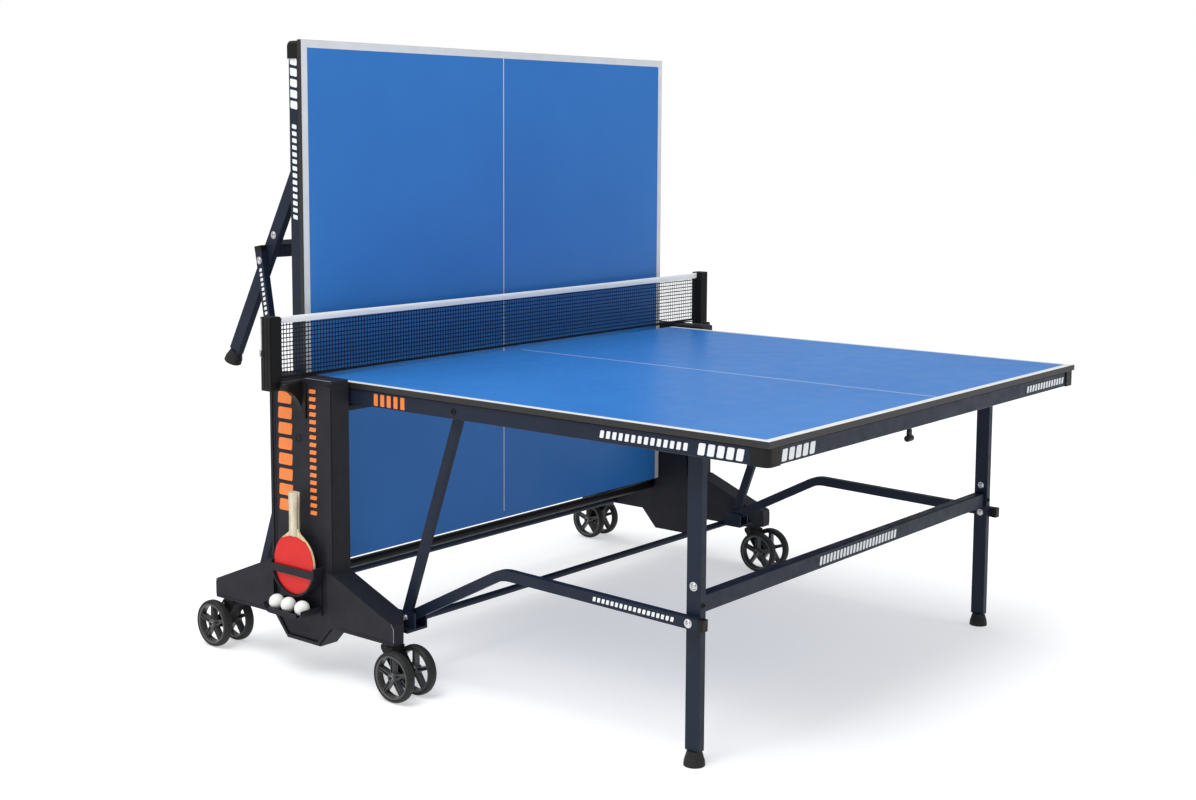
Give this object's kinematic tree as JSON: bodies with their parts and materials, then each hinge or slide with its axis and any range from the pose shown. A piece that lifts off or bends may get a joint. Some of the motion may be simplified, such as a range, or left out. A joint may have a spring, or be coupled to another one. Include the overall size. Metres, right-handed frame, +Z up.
{
  "type": "ping pong table",
  "caption": "Indoor table tennis table with one half level for play and the other folded upright, on a rolling centre frame with net, bat holders and ball trays.",
  "frame": {"origin": "middle of the part's outline at floor level", "axes": "+Z up; X runs along the table, +X towards the end of the level half and -X behind the folded half; Y runs across the table along the net, with the bat on the -Y side"},
  "size_m": [1.8233, 1.87, 1.6193],
  "materials": {
    "table_top": "matt blue playing paint with white lines",
    "blue_black_tube": "dark navy powder coat, satin",
    "black_steel": "black powder coat, satin",
    "black_plastic": "moulded black plastic",
    "black_rubber": "black rubber tread and feet",
    "housing_plastic": "charcoal moulded plastic with an orange panel",
    "net_cord": "knotted net with a white tape",
    "bat_rubber": "red pimpled rubber on a plywood blade, wooden handle",
    "ball_celluloid": "matt white"
  },
  "bodies": {
    "centre_frame": {"side_upright_near": "housing_plastic", "side_upright_far": "housing_plastic", "base_cross_tube_A": "black_steel", "base_cross_tube_B": "black_steel", "net_post_near": "black_steel", "net_post_far": "black_steel", "bat_and_ball_holder_near": "housing_plastic", "bat_and_ball_holder_far": "housing_plastic"},
    "net": {"net": "net_cord"},
    "slider_A": {"slider_tube_A": "black_steel"},
    "half_A": {"board_A": "table_top", "end_rail_A": "blue_black_tube", "side_rail_near_A": "blue_black_tube", "side_rail_far_A": "blue_black_tube", "corner_cap_near_A": "black_plastic", "corner_cap_far_A": "black_plastic"},
    "lever_A": {"release_lever_A": "black_plastic"},
    "legs_A": {"leg_near_A": "blue_black_tube", "leg_far_A": "blue_black_tube", "leg_crossbar_A": "blue_black_tube"},
    "braces_A": {"brace_near_A": "blue_black_tube", "brace_far_A": "blue_black_tube"},
    "struts_A": {"bent_strut_near_A": "blue_black_tube", "bent_strut_far_A": "blue_black_tube"},
    "foot_near_A": {"levelling_foot_near_A": "black_rubber"},
    "foot_far_A": {"levelling_foot_far_A": "black_rubber"},
    "caster_near_A": {"caster_fork_near_A": "black_plastic"},
    "wheel_near_A_outer": {"caster_wheel_near_A_outer": "black_rubber"},
    "wheel_near_A_inner": {"caster_wheel_near_A_inner": "black_rubber"},
    "caster_far_A": {"caster_fork_far_A": "black_plastic"},
    "wheel_far_A_outer": {"caster_wheel_far_A_outer": "black_rubber"},
    "wheel_far_A_inner": {"caster_wheel_far_A_inner": "black_rubber"},
    "slider_B": {"slider_tube_B": "black_steel"},
    "half_B": {"board_B": "table_top", "end_rail_B": "blue_black_tube", "side_rail_near_B": "blue_black_tube", "side_rail_far_B": "blue_black_tube", "corner_cap_near_B": "black_plastic", "corner_cap_far_B": "black_plastic"},
    "lever_B": {"release_lever_B": "black_plastic"},
    "legs_B": {"leg_near_B": "blue_black_tube", "leg_far_B": "blue_black_tube", "leg_crossbar_B": "blue_black_tube"},
    "braces_B": {"brace_near_B": "blue_black_tube", "brace_far_B": "blue_black_tube"},
    "struts_B": {"bent_strut_near_B": "blue_black_tube", "bent_strut_far_B": "blue_black_tube"},
    "foot_near_B": {"levelling_foot_near_B": "black_rubber"},
    "foot_far_B": {"levelling_foot_far_B": "black_rubber"},
    "caster_near_B": {"caster_fork_near_B": "black_plastic"},
    "wheel_near_B_outer": {"caster_wheel_near_B_outer": "black_rubber"},
    "wheel_near_B_inner": {"caster_wheel_near_B_inner": "black_rubber"},
    "caster_far_B": {"caster_fork_far_B": "black_plastic"},
    "wheel_far_B_outer": {"caster_wheel_far_B_outer": "black_rubber"},
    "wheel_far_B_inner": {"caster_wheel_far_B_inner": "black_rubber"},
    "bat": {"bat": "bat_rubber"},
    "ball_1": {"ball_1": "ball_celluloid"},
    "ball_2": {"ball_2": "ball_celluloid"},
    "ball_3": {"ball_3": "ball_celluloid"}
  },
  "joints": [
    {"name": "net_lift", "type": "slide", "parent": "centre_frame", "child": "net", "axis": [0, 0, 1], "range_m": [0, 0.2]},
    {"name": "slide_A", "type": "slide", "parent": "centre_frame", "child": "slider_A", "axis": [0.119, 0, -0.9929], "range_m": [0, 0.459]},
    {"name": "fold_A", "type": "hinge", "parent": "slider_A", "child": "half_A", "pos_m": [-0.43335, 0, 0.73], "axis": [0, -1, 0], "range_deg": [0, 90]},
    {"name": "legs_fold_A", "type": "hinge", "parent": "half_A", "child": "legs_A", "pos_m": [0.68475, 0, 0.722], "axis": [0, 1, 0], "range_deg": [0, 61.6]},
    {"name": "brace_swing_A", "type": "hinge", "parent": "half_A", "child": "braces_A", "pos_m": [0.01535, 0, 0.7234], "axis": [0, 1, 0], "range_deg": [0, 51.1]},
    {"name": "strut_swing_A", "type": "hinge", "parent": "centre_frame", "child": "struts_A", "pos_m": [-0.16725, 0, 0.1808], "axis": [0, -1, 0], "range_deg": [0, 81.3]},
    {"name": "lever_A", "type": "hinge", "parent": "half_A", "child": "lever_A", "pos_m": [0.89715, -0.143, 0.6979], "axis": [1, 0, 0], "range_deg": [0, 25], "stiffness_Nm_per_rad": 0.05},
    {"name": "foot_screw_near_A", "type": "slide", "parent": "legs_A", "child": "foot_near_A", "axis": [0, 0, -1], "range_m": [0, 0.012]},
    {"name": "foot_screw_far_A", "type": "slide", "parent": "legs_A", "child": "foot_far_A", "axis": [0, 0, -1], "range_m": [0, 0.012]},
    {"name": "caster_swivel_near_A", "type": "hinge", "parent": "centre_frame", "child": "caster_near_A", "pos_m": [-0.15335, -0.8013, 0.137], "axis": [0, 0, 1], "continuous": true},
    {"name": "wheel_spin_near_A_outer", "type": "hinge", "parent": "caster_near_A", "child": "wheel_near_A_outer", "pos_m": [-0.11035, -0.8388, 0.0635], "axis": [0, 1, 0], "continuous": true},
    {"name": "wheel_spin_near_A_inner", "type": "hinge", "parent": "caster_near_A", "child": "wheel_near_A_inner", "pos_m": [-0.11035, -0.7638, 0.0635], "axis": [0, 1, 0], "continuous": true},
    {"name": "caster_swivel_far_A", "type": "hinge", "parent": "centre_frame", "child": "caster_far_A", "pos_m": [-0.15335, 0.8013, 0.137], "axis": [0, 0, 1], "continuous": true},
    {"name": "wheel_spin_far_A_outer", "type": "hinge", "parent": "caster_far_A", "child": "wheel_far_A_outer", "pos_m": [-0.11035, 0.8388, 0.0635], "axis": [0, 1, 0], "continuous": true},
    {"name": "wheel_spin_far_A_inner", "type": "hinge", "parent": "caster_far_A", "child": "wheel_far_A_inner", "pos_m": [-0.11035, 0.7638, 0.0635], "axis": [0, 1, 0], "continuous": true},
    {"name": "slide_B", "type": "slide", "parent": "centre_frame", "child": "slider_B", "axis": [0.119, 0, 0.9929], "range_m": [0, 0.459]},
    {"name": "fold_B", "type": "hinge", "parent": "slider_B", "child": "half_B", "pos_m": [-0.53795, 0, 0.2743], "axis": [0, -1, 0], "range_deg": [0, 90]},
    {"name": "legs_fold_B", "type": "hinge", "parent": "half_B", "child": "legs_B", "pos_m": [-0.54595, 0, 1.3924], "axis": [0, 1, 0], "range_deg": [0, 61.6]},
    {"name": "brace_swing_B", "type": "hinge", "parent": "half_B", "child": "braces_B", "pos_m": [-0.54455, 0, 0.723], "axis": [0, 1, 0], "range_deg": [0, 51.1]},
    {"name": "strut_swing_B", "type": "hinge", "parent": "centre_frame", "child": "struts_B", "pos_m": [-0.74945, 0, 0.1808], "axis": [0, -1, 0], "range_deg": [0, 81.3]},
    {"name": "lever_B", "type": "hinge", "parent": "half_B", "child": "lever_B", "pos_m": [-0.57005, 0.143, 1.6048], "axis": [0, 0, 1], "range_deg": [0, 25], "stiffness_Nm_per_rad": 0.05},
    {"name": "foot_screw_near_B", "type": "slide", "parent": "legs_B", "child": "foot_near_B", "axis": [-0.4766, 0, -0.8791], "range_m": [0, 0.012]},
    {"name": "foot_screw_far_B", "type": "slide", "parent": "legs_B", "child": "foot_far_B", "axis": [-0.4766, 0, -0.8791], "range_m": [0, 0.012]},
    {"name": "caster_swivel_near_B", "type": "hinge", "parent": "centre_frame", "child": "caster_near_B", "pos_m": [-0.76335, -0.8013, 0.137], "axis": [0, 0, 1], "continuous": true},
    {"name": "wheel_spin_near_B_outer", "type": "hinge", "parent": "caster_near_B", "child": "wheel_near_B_outer", "pos_m": [-0.80635, -0.8388, 0.0635], "axis": [0, 1, 0], "continuous": true},
    {"name": "wheel_spin_near_B_inner", "type": "hinge", "parent": "caster_near_B", "child": "wheel_near_B_inner", "pos_m": [-0.80635, -0.7638, 0.0635], "axis": [0, 1, 0], "continuous": true},
    {"name": "caster_swivel_far_B", "type": "hinge", "parent": "centre_frame", "child": "caster_far_B", "pos_m": [-0.76335, 0.8013, 0.137], "axis": [0, 0, 1], "continuous": true},
    {"name": "wheel_spin_far_B_outer", "type": "hinge", "parent": "caster_far_B", "child": "wheel_far_B_outer", "pos_m": [-0.80635, 0.8388, 0.0635], "axis": [0, 1, 0], "continuous": true},
    {"name": "wheel_spin_far_B_inner", "type": "hinge", "parent": "caster_far_B", "child": "wheel_far_B_inner", "pos_m": [-0.80635, 0.7638, 0.0635], "axis": [0, 1, 0], "continuous": true},
    {"name": "bat_lift", "type": "slide", "parent": "centre_frame", "child": "bat", "axis": [0, 0, 1], "range_m": [0, 0.2]},
    {"name": "ball_lift_1", "type": "slide", "parent": "centre_frame", "child": "ball_1", "axis": [0, -0.7071, 0.7071], "range_m": [0, 0.12]},
    {"name": "ball_lift_2", "type": "slide", "parent": "centre_frame", "child": "ball_2", "axis": [0, -0.7071, 0.7071], "range_m": [0, 0.12]},
    {"name": "ball_lift_3", "type": "slide", "parent": "centre_frame", "child": "ball_3", "axis": [0, -0.7071, 0.7071], "range_m": [0, 0.12]}
  ],
  "couplings": [
    {"joint": "slide_A", "follows": "fold_A", "m_per_rad": 0.29218},
    {"joint": "legs_fold_A", "follows": "fold_A", "ratio": 0.68372},
    {"joint": "brace_swing_A", "follows": "fold_A", "ratio": 0.56745},
    {"joint": "strut_swing_A", "follows": "fold_A", "ratio": 0.90307},
    {"joint": "slide_B", "follows": "fold_B", "m_per_rad": 0.29218},
    {"joint": "legs_fold_B", "follows": "fold_B", "ratio": 0.68372},
    {"joint": "brace_swing_B", "follows": "fold_B", "ratio": 0.56745},
    {"joint": "strut_swing_B", "follows": "fold_B", "ratio": 0.90307}
  ]
}
